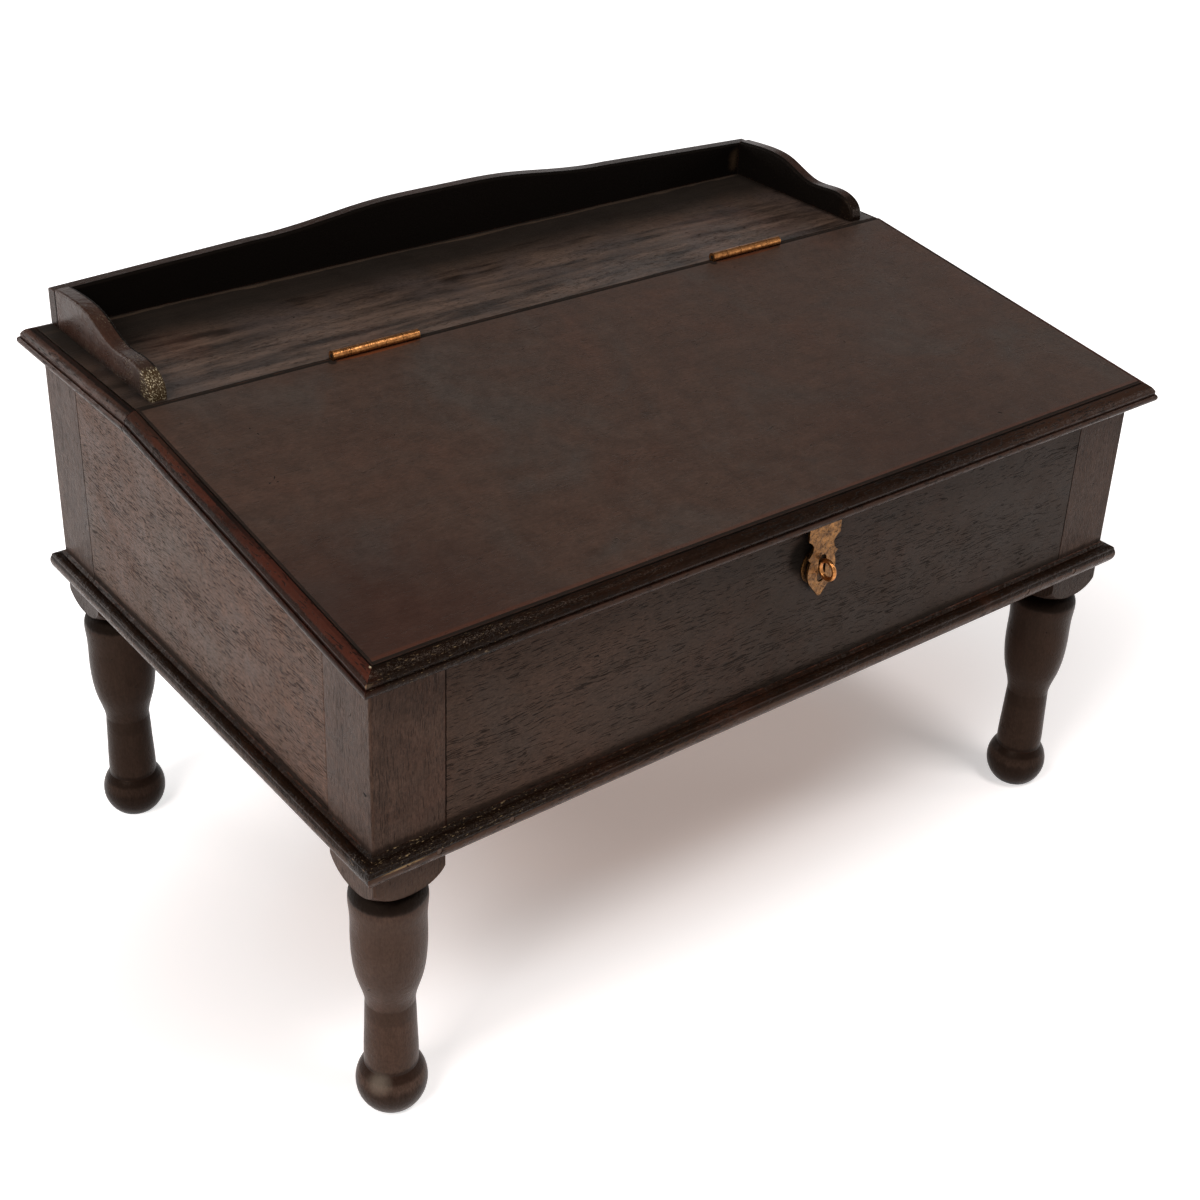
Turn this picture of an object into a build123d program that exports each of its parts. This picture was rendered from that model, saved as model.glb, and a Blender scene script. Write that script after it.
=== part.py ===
"""Table-top writing box: a slope-front case on four turned legs, with a lift lid,
a galleried pen shelf behind it, two butt hinges and a brass hasp and staple.

Millimetres.  +X runs to the right along the front, +Y to the back, +Z up.
The origin is on the floor, under the middle of the whole object's box.
"""
import os
from math import atan2, cos, degrees, hypot, sin

from build123d import *

os.makedirs("parts", exist_ok=True)

# ---------------------------------------------------------------- driving sizes
# Case: posts at the corners, horizontal boards between them
case_width = 600.0
case_depth = 390.0
front_height = 114.0          # base line to the lid's seat at the front
rear_height = 149.5           # base line to the shelf's seat
writing_run = 250.0           # case front to the hinge line
board_thickness = 15.0        # front, back and sides
bottom_thickness = 9.0
bottom_recess = 3.0           # bottom board above the lower edge of the sides
seam_bevel = 0.5              # soft edge on each side of a glued seam
worn_corner = 1.6             # rounding of the case's upright corners

# Turned legs, one piece with the corner posts
leg_height = 207.0            # floor to the base line
post_width = 46.0
post_depth = 46.0
pommel_corner_drop = 27.5     # base line to where the square's corners stop
pommel_drop = 39.5            # base line to the bottom of the turned shoulder
neck_radius = 16.4
throat_step = 1.0             # turned shoulder's lower end proud of the neck
neck_length = 2.6
waist_radius = 14.8
waist_height = 78.5           # above the floor
ankle_radius = 16.2
foot_radius = 21.4
foot_height = 30.5
foot_flat_radius = 14.5
turning_allowance = 0.7       # stock turned away at the leg's widest place

# Base moulding planted round the case
base_moulding_height = 17.0
base_moulding_width = 8.0
base_ledge_width = 3.0        # quirk beside the case, then the ledge
base_quirk_depth = 2.4
base_arris_drop = 4.4         # base line to the ledge's outer arris
base_nose_drop = 9.0          # base line to the furthest point of the face
base_foot_width = 3.0         # width left at the moulding's lower edge
moulding_peg_radius = 1.9
moulding_peg_recess = 0.4     # plug's face behind the moulding's nose
moulding_peg_insets = (37.0, 85.0)     # from each end of the case
moulding_peg_clearance = 0.05

# Lid and shelf boards, with a thumbnail moulding planted on their open edges
top_thickness = 12.0
lid_gap = 0.3                 # lid's underside above its seat
edge_width = 10.0
edge_side_overhang = 11.5
lid_front_overhang = 15.0
shelf_rear_overhang = 12.0
joint_gap = 0.8               # between lid and shelf
edge_quirk = 1.0              # groove between board and strip
edge_lip_width = 1.9          # lip proud of the round above it
edge_lip_drop = 7.4           # top face to the lip's upper edge
edge_lip_return = 0.9         # lip's face back to the lower edge of the strip

# Gallery round the shelf
gallery_thickness = 11.0
gallery_side_setback = 21.0   # shelf nose to gallery, at the sides
gallery_rear_setback = 8.0    # shelf nose to gallery, at the back
gallery_end_height = 24.5
gallery_shoulder_height = 30.0
gallery_crest_height = 39.0
crest_half_width = 150.0      # middle to where the crest's ogees end
gallery_swell_height = 28.5   # highest point of a side piece
gallery_corner_height = 26.5  # side piece where it meets the back piece
gallery_swell_setback = 44.0  # that point, in front of the gallery's back face
gallery_waist_height = 16.5   # low front run of a side piece
gallery_tip_setback = 1.0     # side piece behind the hinge line
gallery_edge_round = 1.8

# Butt hinges let into the meeting edges of shelf and lid
hinge_length = 63.5
hinge_centres = (-140.0, 170.0)
knuckle_count = 5
knuckle_radius = 3.2
knuckle_gap = 0.35            # between neighbouring knuckles
knuckle_rise = 2.4            # axis above the shelf's top face
hinge_pin_radius = 1.3
hinge_pin_clearance = 0.05
hinge_leaf_thickness = 1.5
hinge_leaf_height = 10.5      # from the shelf's top face down
hinge_relief = 0.4            # room round the knuckles
screw_radius = 1.4
screw_head_radius = 2.5
screw_head_depth = 1.1
screw_length = 9.0
screw_clearance = 0.05
hinge_screw_inset = 8.0       # from each end of a leaf
hinge_screw_drop = 6.2        # below the shelf's top face

# Brass hasp hung under the lid's front edge
hasp_centre = 13.8            # right of the case's middle
hasp_width = 25.6
hasp_thickness = 1.5
hasp_stand_off = 4.2          # strap's middle in front of the case
hasp_knuckle_radius = 1.9
hasp_knuckle_length = 14.0    # strap's own knuckle, between the two of the leaf
hasp_knuckle_gap = 0.4
hasp_pin_radius = 0.8
hasp_pin_clearance = 0.05
hasp_length = 55.0            # hinge line to the tip
hasp_horn_drop = 14.5         # hinge line to the horned corners' lower points
hasp_neck_half_width = 8.2
hasp_neck_drop = 19.5
hasp_cusp_half_width = 12.2
hasp_cusp_drop = 26.5
hasp_notch_half_width = 9.6
hasp_notch_drop = 29.5
hasp_lobe_half_width = 11.3
hasp_lobe_drop = 36.0
hasp_point_half_width = 7.3   # where the lobe turns in to the tip
hasp_point_drop = 47.2
hasp_slot_width = 6.4
hasp_slot_top = 26.4          # hinge line to the slot's upper end
hasp_slot_bottom = 45.4
hasp_leaf_length = 27.0
hasp_leaf_thickness = 1.2
hasp_leaf_clearance = 0.1     # leaf in its recess
hasp_web_thickness = 1.1
hasp_screw_spread = 15.0
hasp_screw_setback = 19.0     # behind the hasp's hinge line
hasp_screw_length = 6.5

# Staple: a domed plate and an eye on a shank
staple_drop = 35.0            # hasp's hinge line to the middle of the eye
eye_radius = 5.9              # centre line of the ring
eye_wire_radius = 1.45
eye_hole_radius = 4.6         # worn smooth by the padlock
eye_reach = 9.3               # case front to the middle of the eye
staple_shank_radius = 1.7
staple_shank_length = 11.0    # inside the front board
staple_shank_clearance = 0.05
staple_plate_radius = 13.0
staple_plate_rim = 0.7
staple_plate_dome = 0.8

# ---------------------------------------------------------------- derived places
front_reach = max(lid_front_overhang, eye_reach + eye_radius + eye_wire_radius)
overall_depth = front_reach + case_depth + shelf_rear_overhang
front_y = -overall_depth / 2 + front_reach
rear_y = front_y + case_depth
hinge_y = front_y + writing_run
half_width = case_width / 2
base_z = leg_height
seat_z = base_z + rear_height
shelf_top = seat_z + top_thickness
panel_bottom = base_z - base_moulding_height
nose_x = half_width + edge_side_overhang
board_edge_x = nose_x - edge_width
slope = atan2(rear_height - front_height, writing_run)
slope_degrees = degrees(slope)
inner_half_width = half_width - post_width
inner_front_y = front_y + post_depth
inner_rear_y = rear_y - post_depth

lid_seat = Plane(origin=(0, hinge_y, seat_z), x_dir=(1, 0, 0), z_dir=(0, -sin(slope), cos(slope)))
lid_under = lid_seat.offset(lid_gap)
lid_top = lid_under.offset(top_thickness)
up_slope = (0, cos(slope), sin(slope))
down_slope = (0, -cos(slope), -sin(slope))
off_lid = (0, -sin(slope), cos(slope))
lid_rear = Plane(origin=(0, hinge_y - joint_gap / 2, seat_z), z_dir=(0, 1, 0))
tall = rear_height + 2 * top_thickness            # taller than any part of the case's top


def save(part, name):
    """Label a finished piece and write its STEP file."""
    part.part.label = name
    export_step(part.part, f"parts/{name}.step")
    print(f"{name}: {part.part.volume / 1000:.1f} cm3")


def top_line(y):
    """Height of the case's top edge at a distance y: the slope, then the shelf's seat."""
    return seat_z + min(0.0, y - hinge_y) * (rear_height - front_height) / writing_run


# ---------------------------------------------------------------- corner posts and legs
post_axis_x = half_width - post_width / 2
post_axis_y = (case_depth - post_depth) / 2
case_middle_y = (front_y + rear_y) / 2
neck_z = base_z - pommel_drop - neck_length
vase_radius = post_depth / 2 - turning_allowance
pommel_corner_radius = hypot(post_width, post_depth) / 2
pommel_throat_radius = neck_radius + throat_step
vase_length = neck_z - waist_height

# Share of the way down the vase, and share of the swell from waist to full width
vase_curve = ((0.05, 0.90), (0.22, 1.0), (0.42, 0.98), (0.62, 0.90), (0.80, 0.55), (0.91, 0.18))
shank_curve = ((0.14, 0.22), (0.45, 0.55), (0.75, 0.95))


def leg_outline():
    """Half section of the turning, from the floor up to the neck."""
    foot_middle = foot_height / 2
    shank_length = waist_height - foot_height
    with BuildLine() as outline:
        Line((0, 0), (foot_flat_radius, 0))
        ThreePointArc((foot_flat_radius, 0), (foot_radius, foot_middle), (ankle_radius, foot_height))
        shank = [(waist_radius + (ankle_radius - waist_radius) * swell, waist_height - share * shank_length)
                 for share, swell in reversed(shank_curve)]
        Spline((ankle_radius, foot_height), *shank, (waist_radius, waist_height))
        vase = [(waist_radius + (vase_radius - waist_radius) * swell, neck_z - share * vase_length)
                for share, swell in reversed(vase_curve)]
        Spline((waist_radius, waist_height), *vase, (neck_radius, neck_z))
        Line((neck_radius, neck_z), (neck_radius, neck_z + neck_length))
        Line((neck_radius, neck_z + neck_length), (0, neck_z + neck_length))
        Line((0, neck_z + neck_length), (0, 0))
    make_face(outline.edges())


def pommel_outline():
    """Half section of everything that the shoulder leaves of the square post."""
    throat_z = base_z - pommel_drop
    corner_z = base_z - pommel_corner_drop
    bulge = (pommel_throat_radius + 0.62 * (pommel_corner_radius - pommel_throat_radius),
             throat_z + 0.36 * (corner_z - throat_z))
    with BuildLine() as outline:
        Line((0, throat_z), (pommel_throat_radius, throat_z))
        ThreePointArc((pommel_throat_radius, throat_z), bulge, (pommel_corner_radius, corner_z))
        Line((pommel_corner_radius, corner_z), (post_width, corner_z))
        Line((post_width, corner_z), (post_width, base_z + tall))
        Line((post_width, base_z + tall), (0, base_z + tall))
        Line((0, base_z + tall), (0, throat_z))
    make_face(outline.edges())


def corner_post(side, end):
    """Post and leg in one; side is -1 left or 1 right, end is -1 front or 1 back."""
    x, y = side * post_axis_x, case_middle_y + end * post_axis_y
    axis = Plane(origin=(x, y, 0), x_dir=(1, 0, 0), z_dir=(0, -1, 0))
    with BuildPart() as post:
        with BuildSketch(Plane(origin=(x, y, base_z - pommel_drop))):
            Rectangle(post_width, post_depth)
        extrude(amount=pommel_drop + tall)
        outer = post.edges().filter_by(Axis.Z).sort_by(lambda e: side * e.center().X + end * e.center().Y)
        fillet(outer[-1], radius=worn_corner)
        with BuildSketch(axis):
            pommel_outline()
        revolve(axis=Axis((x, y, 0), (0, 0, 1)), mode=Mode.INTERSECT)
        with BuildSketch(axis):
            leg_outline()
        revolve(axis=Axis((x, y, 0), (0, 0, 1)))
        split(bisect_by=Plane.XY.offset(seat_z), keep=Keep.BOTTOM)
        split(bisect_by=lid_seat, keep=Keep.BOTTOM)
    return post


for end, end_name in ((-1, "front"), (1, "rear")):
    for side, side_name in ((-1, "left"), (1, "right")):
        save(corner_post(side, end), f"post_{end_name}_{side_name}")

# ---------------------------------------------------------------- case boards
hasp_axis_drop = hasp_knuckle_radius + hasp_knuckle_gap      # below the lid's underside
hasp_axis = lid_under.from_local_coords(
    (hasp_centre, -(writing_run + hasp_stand_off) / cos(slope), -hasp_axis_drop))
eye_z = hasp_axis.Z - staple_drop
staple_place = Plane(origin=(hasp_centre, front_y, eye_z), x_dir=(1, 0, 0), z_dir=(0, -1, 0))
staple_hole_depth = staple_shank_length + 0.5


def long_board(outer_y, inward):
    """Front or back board, between the posts; inward is 1 for the front and -1 for the back."""
    with BuildPart() as board:
        with BuildSketch(Plane(origin=(0, outer_y + inward * board_thickness / 2, panel_bottom))):
            Rectangle(2 * inner_half_width, board_thickness)
        extrude(amount=base_moulding_height + tall)
        seams = board.edges().filter_by(Axis.Z).filter_by_position(Axis.Y, outer_y - 0.1, outer_y + 0.1)
        chamfer(seams, length=seam_bevel)
        split(bisect_by=Plane.XY.offset(seat_z), keep=Keep.BOTTOM)
        split(bisect_by=lid_seat, keep=Keep.BOTTOM)
        if inward > 0:
            with Locations(staple_place):
                Cylinder(staple_shank_radius + staple_shank_clearance, 2 * staple_hole_depth,
                         mode=Mode.SUBTRACT)
    return board


def side_board(side):
    """Side board with the sloped top edge, between the front and rear posts."""
    outer_x = side * half_width
    with BuildPart() as board:
        with BuildSketch(Plane.YZ.offset(outer_x)):
            with BuildLine():
                Polyline((inner_front_y, panel_bottom), (inner_rear_y, panel_bottom),
                         (inner_rear_y, top_line(inner_rear_y)), (hinge_y, seat_z),
                         (inner_front_y, top_line(inner_front_y)), close=True)
            make_face()
        extrude(amount=-side * board_thickness)
        seams = board.edges().filter_by(Axis.Z).filter_by_position(Axis.X, outer_x - 0.1, outer_x + 0.1)
        chamfer(seams, length=seam_bevel)
    return board


save(long_board(front_y, 1), "front_board")
save(long_board(rear_y, -1), "back_board")
save(side_board(-1), "side_board_left")
save(side_board(1), "side_board_right")

with BuildPart() as bottom:
    with BuildSketch(Plane(origin=(0, case_middle_y, panel_bottom + bottom_recess))):
        Rectangle(case_width - 2 * board_thickness, case_depth - 2 * board_thickness)
        with GridLocations(2 * post_axis_x, 2 * post_axis_y, 2, 2):
            Rectangle(post_width, post_depth, mode=Mode.SUBTRACT)
    extrude(amount=bottom_thickness)
save(bottom, "bottom_board")

# ---------------------------------------------------------------- planted mouldings
def base_section():
    """Base moulding across: X outward from the case, Y up from the base line."""
    width, height = base_moulding_width, base_moulding_height
    arris = (width - 1.0, -base_arris_drop)
    with BuildLine() as outline:
        Line((0, 0), (0, -height))
        Line((0, -height), (base_foot_width, -height))
        ThreePointArc((base_foot_width, -height), (width, -base_nose_drop), (width - 0.9, -base_arris_drop - 1.1))
        Line((width - 0.9, -base_arris_drop - 1.1), arris)
        ThreePointArc(arris, ((base_ledge_width + arris[0]) / 2, -base_quirk_depth - 0.4),
                      (base_ledge_width, -base_quirk_depth))
        Line((base_ledge_width, -base_quirk_depth), (0.6 * base_ledge_width, -base_quirk_depth))
        Line((0.6 * base_ledge_width, -base_quirk_depth), (0, 0))
    make_face(outline.edges())


def thumbnail_section():
    """Lid or shelf edge across: X outward with 0 at the nose, Y up with 0 at the top face."""
    round_start = (-edge_width + edge_quirk, -0.4 * edge_quirk)
    round_end = (-edge_lip_width, 1.2 * edge_lip_width - edge_lip_drop)
    crown = (0.36 * round_start[0] + 0.64 * round_end[0], 0.66 * round_start[1] + 0.34 * round_end[1])
    with BuildLine() as outline:
        Line((-edge_width, -top_thickness), (-edge_width, -edge_quirk))
        Line((-edge_width, -edge_quirk), round_start)
        ThreePointArc(round_start, crown, round_end)
        Line(round_end, (-edge_lip_width, -edge_lip_drop))
        Line((-edge_lip_width, -edge_lip_drop), (-edge_lip_return, -edge_lip_drop))
        ThreePointArc((-edge_lip_return, -edge_lip_drop), (0, -(edge_lip_drop + top_thickness) / 2),
                      (-edge_lip_return, -top_thickness))
        Line((-edge_lip_return, -top_thickness), (-edge_width, -top_thickness))
    make_face(outline.edges())


def strip(section, start, direction, outward, up, length, mitres):
    """Run a moulding from start; each mitred end is cut at 45 degrees through the nose line.

    The mitre plane at an end passes through the given point of the section's zero line.
    """
    run = Plane(origin=start, x_dir=outward, z_dir=direction)
    over = 3 * edge_width
    first, last = mitres
    with BuildPart() as piece:
        with BuildSketch(run.offset(-over if first else 0)):
            section()
        extrude(amount=length + (over if first else 0) + (over if last else 0))
        if first:
            cut = Plane(origin=start, x_dir=up, z_dir=Vector(*direction) + Vector(*outward) * first)
            split(bisect_by=cut, keep=Keep.TOP)
        if last:
            finish = Vector(*start) + Vector(*direction) * length
            cut = Plane(origin=finish, x_dir=up, z_dir=Vector(*direction) - Vector(*outward) * last)
            split(bisect_by=cut, keep=Keep.BOTTOM)
    return piece


front_left = (-half_width, front_y, base_z)
front_right = (half_width, front_y, base_z)
rear_left = (-half_width, rear_y, base_z)
rear_right = (half_width, rear_y, base_z)
upright = (0, 0, 1)

peg_places = [Plane(origin=(side * (half_width - inset), front_y, base_z - base_nose_drop), z_dir=(0, -1, 0))
              for side in (-1, 1) for inset in moulding_peg_insets]
with strip(base_section, front_right, (-1, 0, 0), (0, -1, 0), upright, case_width, (1, 1)) as front_moulding:
    with Locations(peg_places):
        Cylinder(moulding_peg_radius + moulding_peg_clearance, 3 * base_moulding_width, mode=Mode.SUBTRACT)
save(front_moulding, "base_moulding_front")
save(strip(base_section, rear_left, (1, 0, 0), (0, 1, 0), upright, case_width, (1, 1)),
     "base_moulding_back")
save(strip(base_section, front_left, (0, 1, 0), (-1, 0, 0), upright, case_depth, (1, 1)),
     "base_moulding_left")
save(strip(base_section, rear_right, (0, -1, 0), (1, 0, 0), upright, case_depth, (1, 1)),
     "base_moulding_right")

with BuildPart() as pegs:
    with Locations(peg_places):
        Cylinder(moulding_peg_radius, base_moulding_width - moulding_peg_recess,
                 align=(Align.CENTER, Align.CENTER, Align.MIN))
save(pegs, "moulding_pegs")

# ---------------------------------------------------------------- butt hinges, shared places
hinge_axis_z = shelf_top + knuckle_rise
knuckle_pitch = hinge_length / knuckle_count
leaf_middle_z = shelf_top - hinge_leaf_height / 2
leaf_face = joint_gap / 2                # from the hinge line to a leaf's outer face
leaf_middle = leaf_face + hinge_leaf_thickness / 2
relief_radius = knuckle_radius + hinge_relief
hinge_screw_z = shelf_top - hinge_screw_drop
hinge_screw_offsets = (-hinge_length / 2 + hinge_screw_inset, 0, hinge_length / 2 - hinge_screw_inset)


def knuckle_offsets(first):
    """Middles of one leaf's knuckles along the hinge; first is 0 or 1."""
    start = -hinge_length / 2 + knuckle_pitch / 2
    return [start + n * knuckle_pitch for n in range(first, knuckle_count, 2)]


def along_x(centre, offset, y, z):
    """Frame whose Z runs along +X, for barrels and pins that lie across the box."""
    return Plane(origin=(centre + offset, y, z), x_dir=(0, 1, 0), z_dir=(1, 0, 0))


def countersunk(x, way):
    """Frame at a hinge screw's head, facing out of the leaf; way is 1 shelf, -1 lid."""
    return Plane(origin=(x, hinge_y + way * leaf_face, hinge_screw_z), z_dir=(0, -way, 0))


def screw_room(clearance, length):
    """Countersink and bore for a screw whose head lies at the frame's origin."""
    with BuildPart(mode=Mode.PRIVATE) as room:
        Cone(screw_radius + clearance, screw_head_radius + clearance, screw_head_depth,
             align=(Align.CENTER, Align.CENTER, Align.MAX))
        Cylinder(screw_radius + clearance, length, align=(Align.CENTER, Align.CENTER, Align.MAX))
    return room.part


def hinge_screw_places(way):
    return [countersunk(centre + offset, way) for centre in hinge_centres for offset in hinge_screw_offsets]


screw_bore = screw_room(screw_clearance, screw_length + screw_clearance)
screw_body = screw_room(0, screw_length)


def cut_hinge_seats(way):
    """Cut a board's meeting edge for both hinges; runs inside the board's own block."""
    with Locations([(centre, hinge_y + way * leaf_middle, leaf_middle_z) for centre in hinge_centres]):
        Box(hinge_length, hinge_leaf_thickness, hinge_leaf_height, mode=Mode.SUBTRACT)
    with Locations([along_x(centre, 0, hinge_y, hinge_axis_z) for centre in hinge_centres]):
        Cylinder(relief_radius, hinge_length + 2 * hinge_relief, mode=Mode.SUBTRACT)
    with Locations(hinge_screw_places(way)):
        add(screw_bore, mode=Mode.SUBTRACT)


def butt_leaf(centre, way):
    """One leaf with its rolled knuckles; the shelf's leaf (way 1) has the outer knuckles."""
    own, other = (0, 1) if way > 0 else (1, 0)
    own_length = knuckle_pitch - knuckle_gap
    leaf_top = hinge_axis_z - (shelf_top - hinge_leaf_height)
    with BuildPart() as leaf:
        with Locations((centre, hinge_y + way * leaf_middle, hinge_axis_z)):
            Box(hinge_length, hinge_leaf_thickness, leaf_top, align=(Align.CENTER, Align.CENTER, Align.MAX))
        with Locations([along_x(centre, offset, hinge_y, hinge_axis_z) for offset in knuckle_offsets(other)]):
            Cylinder(relief_radius, knuckle_pitch + knuckle_gap, mode=Mode.SUBTRACT)
        with Locations([along_x(centre, offset, hinge_y, hinge_axis_z) for offset in knuckle_offsets(own)]):
            Cylinder(knuckle_radius, own_length)
        with Locations(along_x(centre, 0, hinge_y, hinge_axis_z)):
            Cylinder(hinge_pin_radius + hinge_pin_clearance, 2 * hinge_length, mode=Mode.SUBTRACT)
        with Locations([countersunk(centre + offset, way) for offset in hinge_screw_offsets]):
            add(screw_bore, mode=Mode.SUBTRACT)
    return leaf


# ---------------------------------------------------------------- shelf
shelf_front = hinge_y + joint_gap / 2
shelf_nose_y = rear_y + shelf_rear_overhang
shelf_board_rear = shelf_nose_y - edge_width
shelf_strip_run = shelf_nose_y - shelf_front

with BuildPart() as shelf:
    with BuildSketch(Plane.XY.offset(seat_z)):
        with Locations((0, (shelf_front + shelf_board_rear) / 2)):
            Rectangle(2 * board_edge_x, shelf_board_rear - shelf_front)
    extrude(amount=top_thickness)
    cut_hinge_seats(1)
save(shelf, "shelf_board")
save(strip(thumbnail_section, (-nose_x, shelf_front, shelf_top), (0, 1, 0), (-1, 0, 0), upright,
           shelf_strip_run, (0, 1)), "shelf_edge_left")
save(strip(thumbnail_section, (nose_x, shelf_nose_y, shelf_top), (0, -1, 0), (1, 0, 0), upright,
           shelf_strip_run, (1, 0)), "shelf_edge_right")
save(strip(thumbnail_section, (-nose_x, shelf_nose_y, shelf_top), (1, 0, 0), (0, 1, 0), upright,
           2 * nose_x, (1, 1)), "shelf_edge_rear")

# ---------------------------------------------------------------- gallery
gallery_x = nose_x - gallery_side_setback
gallery_rear = shelf_nose_y - gallery_rear_setback
gallery_inner = gallery_rear - gallery_thickness
gallery_tip_y = hinge_y + gallery_tip_setback + knuckle_radius
swell_y = gallery_rear - gallery_swell_setback

with BuildPart() as gallery_back:
    with BuildSketch(Plane(origin=(0, gallery_rear, shelf_top), x_dir=(-1, 0, 0), z_dir=(0, 1, 0))):
        with BuildLine():
            Polyline((-crest_half_width, gallery_shoulder_height), (-gallery_x, gallery_end_height),
                     (-gallery_x, 0), (gallery_x, 0), (gallery_x, gallery_end_height),
                     (crest_half_width, gallery_shoulder_height))
            crest_rise = gallery_crest_height - gallery_shoulder_height
            Spline((-crest_half_width, gallery_shoulder_height),
                   (-0.70 * crest_half_width, gallery_shoulder_height + 0.30 * crest_rise),
                   (-0.38 * crest_half_width, gallery_shoulder_height + 0.88 * crest_rise),
                   (0, gallery_crest_height),
                   (0.38 * crest_half_width, gallery_shoulder_height + 0.88 * crest_rise),
                   (0.70 * crest_half_width, gallery_shoulder_height + 0.30 * crest_rise),
                   (crest_half_width, gallery_shoulder_height))
        make_face()
    extrude(amount=-gallery_thickness)
    crest = gallery_back.edges().filter_by_position(Axis.Z, shelf_top + 1, shelf_top + tall)
    fillet(crest.filter_by(GeomType.BSPLINE), radius=gallery_edge_round)
save(gallery_back, "gallery_back")


# Share of the way from the swell to the tip, and share of the fall that is left there
side_curve = ((0.16, 0.88), (0.34, 0.40), (0.50, 0.04), (0.87, 0.0))
tip_curve = ((0.042, 0.74),)             # share of the run behind the tip, share of the low height


def gallery_side(side):
    """Scrolled side piece, from the back piece's inner face down to a rounded tip."""
    run = swell_y - gallery_tip_y
    fall = gallery_swell_height - gallery_waist_height
    rear_top = (gallery_inner, shelf_top + gallery_corner_height)
    ogee = [(swell_y - share * run, shelf_top + gallery_waist_height + left * fall)
            for share, left in side_curve]
    tip = [(gallery_tip_y + share * run, shelf_top + height * gallery_waist_height)
           for share, height in tip_curve]
    with BuildPart() as piece:
        with BuildSketch(Plane.YZ.offset(side * gallery_x)):
            with BuildLine():
                Polyline((gallery_tip_y, shelf_top), (gallery_inner, shelf_top), rear_top)
                Spline(rear_top, (swell_y, shelf_top + gallery_swell_height), *ogee, *tip,
                       (gallery_tip_y, shelf_top))
            make_face()
        extrude(amount=-side * gallery_thickness)
        fillet(piece.edges().filter_by(GeomType.BSPLINE), radius=gallery_edge_round)
    return piece


save(gallery_side(-1), "gallery_left")
save(gallery_side(1), "gallery_right")

# ---------------------------------------------------------------- lid
nose_height = lid_gap + (top_thickness - edge_lip_drop) / 2
lid_nose = (writing_run + lid_front_overhang - nose_height * sin(slope)) / cos(slope)
lid_board_front = lid_nose - edge_width
lid_over = top_thickness * 2                                     # cut back to the hinge line
hasp_leaf_back = hasp_leaf_length - hasp_web_thickness / 2       # behind the hasp's hinge line


def on_lid(x, back, height):
    """Point over the lid's underside: back up the slope from the hasp's hinge line."""
    run = (writing_run + hasp_stand_off) / cos(slope)
    return lid_under.from_local_coords((x, back - run, height))


def across_lid(point, facing=-1):
    """Frame square to the lid at a point; facing is -1 down out of the lid's underside."""
    return Plane(origin=point, x_dir=(1, 0, 0), z_dir=Vector(*off_lid) * facing)


hasp_screw_places = [across_lid(on_lid(hasp_centre + side * hasp_screw_spread / 2, hasp_screw_setback, 0))
                     for side in (-1, 1)]
hasp_screw_bore = screw_room(screw_clearance, hasp_screw_length + screw_clearance)
hasp_screw_body = screw_room(0, hasp_screw_length)
hasp_leaf_middle = across_lid(on_lid(hasp_centre, hasp_leaf_back - hasp_leaf_length / 2, 0), 1)


def cut_hasp_recess():
    """Let the hasp's leaf flush into the lid's underside; runs inside the piece's own block."""
    with Locations(hasp_leaf_middle):
        Box(hasp_width + 2 * hasp_leaf_clearance, hasp_leaf_length + 2 * hasp_leaf_clearance,
            2 * hasp_leaf_thickness, mode=Mode.SUBTRACT)


with BuildPart() as lid:
    with BuildSketch(lid_under):
        with Locations((0, (lid_over - lid_board_front) / 2)):
            Rectangle(2 * board_edge_x, lid_board_front + lid_over)
    extrude(amount=top_thickness)
    split(bisect_by=lid_rear, keep=Keep.BOTTOM)
    cut_hinge_seats(-1)
    cut_hasp_recess()
    with Locations(hasp_screw_places):
        add(hasp_screw_bore, mode=Mode.SUBTRACT)
save(lid, "lid_board")

lid_run = lid_nose + lid_over


def lid_side_strip(side):
    corner = tuple(lid_top.from_local_coords((side * nose_x, -lid_nose, 0)))
    upper = tuple(lid_top.from_local_coords((side * nose_x, lid_over, 0)))
    if side < 0:
        edge = strip(thumbnail_section, corner, up_slope, (-1, 0, 0), off_lid, lid_run, (1, 0))
    else:
        edge = strip(thumbnail_section, upper, down_slope, (1, 0, 0), off_lid, lid_run, (0, 1))
    with edge:
        split(bisect_by=lid_rear, keep=Keep.BOTTOM)
    return edge


front_corner = tuple(lid_top.from_local_coords((nose_x, -lid_nose, 0)))
with strip(thumbnail_section, front_corner, (-1, 0, 0), down_slope, off_lid, 2 * nose_x,
           (1, 1)) as lid_edge_front:
    cut_hasp_recess()
save(lid_edge_front, "lid_edge_front")
save(lid_side_strip(-1), "lid_edge_left")
save(lid_side_strip(1), "lid_edge_right")

# ---------------------------------------------------------------- butt hinges
for centre, name in zip(hinge_centres, ("left", "right")):
    save(butt_leaf(centre, 1), f"hinge_{name}_shelf_leaf")
    save(butt_leaf(centre, -1), f"hinge_{name}_lid_leaf")

with BuildPart() as hinge_pins:
    with Locations([along_x(centre, 0, hinge_y, hinge_axis_z) for centre in hinge_centres]):
        Cylinder(hinge_pin_radius, hinge_length)
save(hinge_pins, "hinge_pins")

for way, name in ((1, "shelf"), (-1, "lid")):
    with BuildPart() as screws:
        with Locations(hinge_screw_places(way)):
            add(screw_body)
    save(screws, f"hinge_screws_{name}")

# ---------------------------------------------------------------- hasp
def hasp_frame(offset=0.0):
    return along_x(hasp_centre, offset, hasp_axis.Y, hasp_axis.Z)


outer_knuckle = (hasp_width - hasp_knuckle_length) / 2 - hasp_knuckle_gap
outer_offset = (hasp_width - outer_knuckle) / 2
outer_frames = [hasp_frame(side * outer_offset) for side in (-1, 1)]
web_middles = [across_lid(on_lid(hasp_centre + side * outer_offset, 0, (hasp_leaf_thickness - hasp_axis_drop) / 2), 1)
               for side in (-1, 1)]

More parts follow.
